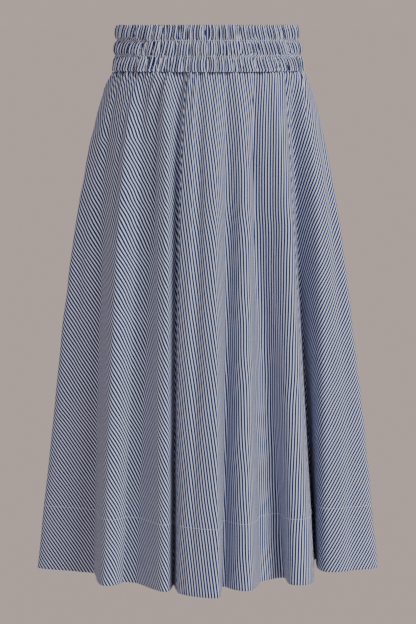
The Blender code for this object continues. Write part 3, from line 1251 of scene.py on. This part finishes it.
@dataclass(frozen=True)
class TwistedThread:
    """Pale spun sewing thread, with its twist as fine slanted relief and painted shade in the
    twist's grooves.
    """

    name: str = "pale_thread"
    colour: Colour = (0.78, 0.80, 0.90)
    # Painted shade: the share of the thread's colour left in the twist's low grooves.
    groove_shade_share: float = 0.8
    roughness: float = 0.7
    sheen: float = 0.1
    twist_scale: float = 1600.0
    twist_wander: float = 1.5
    relief: float = 0.4
    relief_depth: float = 0.00005

    def material(self) -> bpy.types.Material:
        """Makes the thread's material."""
        made = plain_finish(self.name, {"Roughness": self.roughness, "Sheen Weight": self.sheen})
        nodes, links = made.node_tree.nodes, made.node_tree.links
        places = nodes.new("ShaderNodeTexCoord")
        twist = nodes.new("ShaderNodeTexWave")
        twist.bands_direction = "DIAGONAL"
        twist.inputs["Scale"].default_value = self.twist_scale
        twist.inputs["Distortion"].default_value = self.twist_wander
        links.new(places.outputs["Object"], twist.inputs["Vector"])
        # Painted shade: where the twist relief is low, the thread is painted darker.
        shade = nodes.new("ShaderNodeMix")
        shade.data_type = "RGBA"
        shade.inputs["A"].default_value = (*(self.groove_shade_share * c for c in self.colour), 1.0)
        shade.inputs["B"].default_value = (*self.colour, 1.0)
        links.new(twist.outputs["Fac"], shade.inputs["Factor"])
        links.new(shade.outputs["Result"], nodes["Principled BSDF"].inputs["Base Color"])
        add_relief(made, twist.outputs["Fac"], self.relief, self.relief_depth)
        return made


class Sun(NamedTuple):
    """A broad, far light.

    azimuth is counted in degrees from the front towards +X, elevation is how high it stands, and
    spread is how wide it looks, in degrees, which softens its shadows.
    """

    name: str
    strength: float
    azimuth: float
    elevation: float
    spread: float


@dataclass
class Studio:
    """The plain pale floor, the soft light and the camera at the photograph's angle."""

    suns: tuple[Sun, ...] = (
        Sun("key_from_right", 2.34, 43, 38, 24),
        Sun("front_fill", 0.22, -12, 22, 80),
    )

    floor_drop: float = 1700.0
    floor_half: float = 2400.0
    floor_colour: Colour = (0.652, 0.525, 0.472)
    backdrop: Colour = (0.512, 0.415, 0.382)
    ambient: Colour = (0.290, 0.295, 0.315)
    camera_distance: float = 3560.0
    camera_pitch: float = 7.16
    camera_aside: float = 0.8
    frame_height: float = 36.0
    lens: float = 131.94

    def floor(self) -> bpy.types.Object:
        """Lays the floor with its matte finish."""
        deselect_all()
        z = (ORIGIN_DROP - self.floor_drop) * MM
        bpy.ops.mesh.primitive_plane_add(size=2 * self.floor_half, location=(0, 0, z))
        piece = bpy.context.active_object
        piece.name = "studio_floor"
        piece.data.materials.append(plain_finish("matte_floor", {
            "Base Color": (*self.floor_colour, 1.0),
            "Roughness": 1.0,
            "Specular IOR Level": 0.0,
        }))
        return piece

    def shine(self, sun: Sun) -> None:
        """Adds one of the lights, turned towards the skirt."""
        light = bpy.data.lights.new(sun.name, "SUN")
        light.energy = sun.strength
        light.angle = math.radians(sun.spread)
        turned, raised = math.radians(sun.azimuth), math.radians(sun.elevation)
        level = math.cos(raised)
        towards = Vector((math.sin(turned) * level, -math.cos(turned) * level, math.sin(raised)))
        linked(sun.name, light).rotation_euler = towards.to_track_quat("Z", "Y").to_euler()

    def world(self) -> None:
        """Sets the even light that comes from all round, and the backdrop that is seen."""
        world = bpy.data.worlds.new("studio")
        world.use_nodes = True
        nodes, links = world.node_tree.nodes, world.node_tree.links
        light = nodes["Background"]
        light.inputs["Color"].default_value = (*self.ambient, 1.0)
        wall = nodes.new("ShaderNodeBackground")
        wall.inputs["Color"].default_value = (*self.backdrop, 1.0)
        path, mix = nodes.new("ShaderNodeLightPath"), nodes.new("ShaderNodeMixShader")
        links.new(path.outputs["Is Camera Ray"], mix.inputs["Fac"])
        links.new(light.outputs["Background"], mix.inputs[1])
        links.new(wall.outputs["Background"], mix.inputs[2])
        links.new(mix.outputs["Shader"], nodes["World Output"].inputs["Surface"])
        bpy.context.scene.world = world

    def camera(self) -> None:
        """Sets the camera level with the top of the waistband, looking a little down."""
        data = bpy.data.cameras.new("photo_camera")
        data.sensor_fit = "VERTICAL"
        data.sensor_height = self.frame_height
        data.lens = self.lens
        data.dof.use_dof = False
        camera = linked("photo_camera", data)
        camera.location = (self.camera_aside * MM, -self.camera_distance * MM, ORIGIN_DROP * MM)
        camera.rotation_euler = (math.radians(90 - self.camera_pitch), 0, 0)
        bpy.context.scene.camera = camera

    def build(self) -> None:
        """Builds the whole studio."""
        self.floor()
        self.world()
        for sun in self.suns:
            self.shine(sun)
        self.camera()


@dataclass
class Skirt:
    """The whole skirt: its band, its four panels and the rows of stitching on them."""

    thread: Thread = field(default_factory=Thread)
    band: Waistband = field(default_factory=Waistband)
    cut_length: float = 782.0
    narrow: tuple[float, float] = (197.0, 400.0)
    wide: tuple[float, float] = (300.0, 742.0)
    gather_height: float = 4.3

    def panels(self) -> list[Panel]:
        """Lists the four panels on one shared drape."""
        drape = Drape(FRONT_TURNS + RIGHT_TURNS + BACK_TURNS + LEFT_TURNS)
        # Each row: node, fold lines, creases, widths at waist and hem, grain, gathers and seed.
        sewn = (
            ("front_panel", FRONT_TURNS, FRONT_CREASES, self.narrow, Grain.NEAR_STRAIGHT, 17, 11),
            ("right_side_panel", RIGHT_TURNS, RIGHT_CREASES, self.wide, Grain.RIGHT_BIAS, 25, 12),
            ("back_panel", BACK_TURNS, BACK_CREASES, self.narrow, Grain.STRAIGHT, 17, 13),
            ("left_side_panel", LEFT_TURNS, LEFT_CREASES, self.wide, Grain.LEFT_BIAS, 26, 14),
        )
        return [
            Panel(
                node=node,
                turns=turns,
                drape=drape,
                cut=Cut(*widths, self.cut_length, grain),
                gathers=GatherLine(count, self.gather_height, seed),
                creases=creases,
            )
            for node, turns, creases, widths, grain, count, seed in sewn
        ]

    def dress(self, piece: bpy.types.Object, finish: bpy.types.Material) -> None:
        """Gives a piece its material and lets it ride with the skirt."""
        piece.data.materials.append(finish)
        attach(piece, "root")

    def clothe(self, piece: bpy.types.Object, node: str) -> None:
        """Dresses a sheet in its own poplin and puts it in its solid's place."""
        self.dress(piece, StripedPoplin(f"{node}_striped_poplin").material())
        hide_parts(node)

    def build(self) -> None:
        """Builds every piece, in the order that the skirt is sewn."""
        thread = TwistedThread().material()
        for panel in self.panels():
            cloth = panel.sheet()
            self.clothe(cloth, panel.node)
            places = panel.stitch_places(HEM_STITCH_DROP, self.thread.pitch)
            row = self.thread.sew(f"{panel.node}_hem_stitching", places)
            self.dress(row, thread)
            flat, area = panel.cut.sheet_size(HEM_DEPTH)
            faces, stitch_faces = len(cloth.data.polygons), len(row.data.polygons)
            LOG.info("%s: %d faces, %d stitch faces", cloth.name, faces, stitch_faces)
        band = self.band.sheet()
        self.clothe(band, self.band.node)
        for row in range(1, CHANNELS):
            places = self.band.stitch_places(row, self.thread.pitch)
            sewn = self.thread.sew(f"channel_stitching_{row}", places)
            self.dress(sewn, thread)
        flat = (self.band.repeats * STRIPE_PITCH * MM, BAND_HEIGHT * MM)
        LOG.info("%s: %d faces", band.name, len(band.data.polygons))


def main() -> None:
    """Loads the frame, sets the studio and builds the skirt."""
    logging.basicConfig(level=logging.INFO, format="%(name)s: %(message)s")
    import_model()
    Studio().build()
    Skirt().build()


if __name__ == "__main__":
    main()
